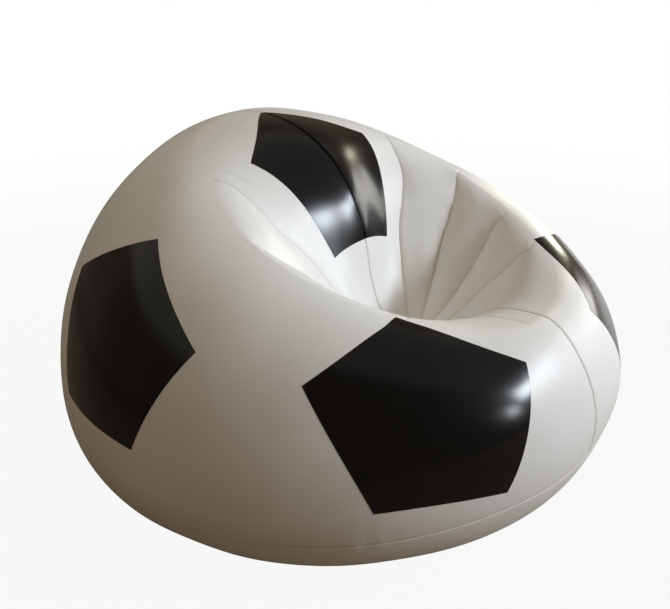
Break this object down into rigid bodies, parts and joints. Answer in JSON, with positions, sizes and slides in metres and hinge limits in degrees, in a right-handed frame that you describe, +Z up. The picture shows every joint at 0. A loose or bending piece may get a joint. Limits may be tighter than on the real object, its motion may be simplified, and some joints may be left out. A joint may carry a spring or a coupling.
{
  "type": "inflatable football armchair",
  "caption": "Ball-shaped inflatable armchair of welded PVC sheet: bucket seat with radial creases, black pentagons, inner tie webs and a capped air valve.",
  "frame": {"origin": "on the floor, at the middle of the chair's outline, on the plane between its two mirrored halves", "axes": "+Z up; the sitter faces -Y; +X is the sitter's left"},
  "size_m": [1.1, 1.0086, 0.605],
  "materials": {
    "white_pvc": "off-white flexible PVC sheet, soft gloss",
    "black_print": "black gloss print on PVC sheet",
    "inner_pvc": "milky PVC web sheet inside the air chamber",
    "valve_pvc": "moulded milky PVC",
    "seal_rubber": "soft dark rubber"
  },
  "bodies": {
    "chair": {"wall_right": "white_pvc", "wall_left": "white_pvc", "bottom_panel": "white_pvc", "seat_centre_patch": "white_pvc", "lobe_front_right": "white_pvc", "lobe_arm_front_right": "white_pvc", "lobe_arm_middle_right": "white_pvc", "lobe_arm_rear_right": "white_pvc", "lobe_back_right": "white_pvc", "lobe_front_left": "white_pvc", "lobe_arm_front_left": "white_pvc", "lobe_arm_middle_left": "white_pvc", "lobe_arm_rear_left": "white_pvc", "lobe_back_left": "white_pvc", "tie_web_front_right": "inner_pvc", "tie_web_front_left": "inner_pvc", "tie_web_side_front_right": "inner_pvc", "tie_web_side_front_left": "inner_pvc", "tie_web_side_rear_right": "inner_pvc", "tie_web_side_rear_left": "inner_pvc", "tie_web_rear_right": "inner_pvc", "tie_web_rear_left": "inner_pvc", "pentagon_front_right": "black_print", "pentagon_front_left": "black_print", "pentagon_side_right": "black_print", "pentagon_side_left": "black_print", "pentagon_back_right": "black_print", "pentagon_back_left": "black_print", "pentagon_rear_right": "black_print", "pentagon_rear_left": "black_print", "valve_base": "valve_pvc", "valve_strap_ring": "valve_pvc", "valve_seal_ring": "seal_rubber"},
    "valve_insert": {"valve_insert": "valve_pvc"},
    "valve_flap": {"valve_flap": "seal_rubber"},
    "valve_cap": {"valve_cap": "valve_pvc"}
  },
  "joints": [
    {"name": "insert_unscrew", "type": "hinge", "parent": "chair", "child": "valve_insert", "pos_m": [0.29584, 0.4172, 0.27449], "axis": [0.5197, 0.8466, 0.1147], "range_deg": [0, 540]},
    {"name": "flap_open", "type": "hinge", "parent": "valve_insert", "child": "valve_flap", "pos_m": [0.28073, 0.41132, 0.27906], "axis": [-0.3947, 0.357, -0.8466], "range_deg": [0, 70]},
    {"name": "cap_open", "type": "hinge", "parent": "chair", "child": "valve_cap", "pos_m": [0.28492, 0.43395, 0.28664], "axis": [0.3947, -0.357, 0.8466], "range_deg": [0, 150]}
  ]
}
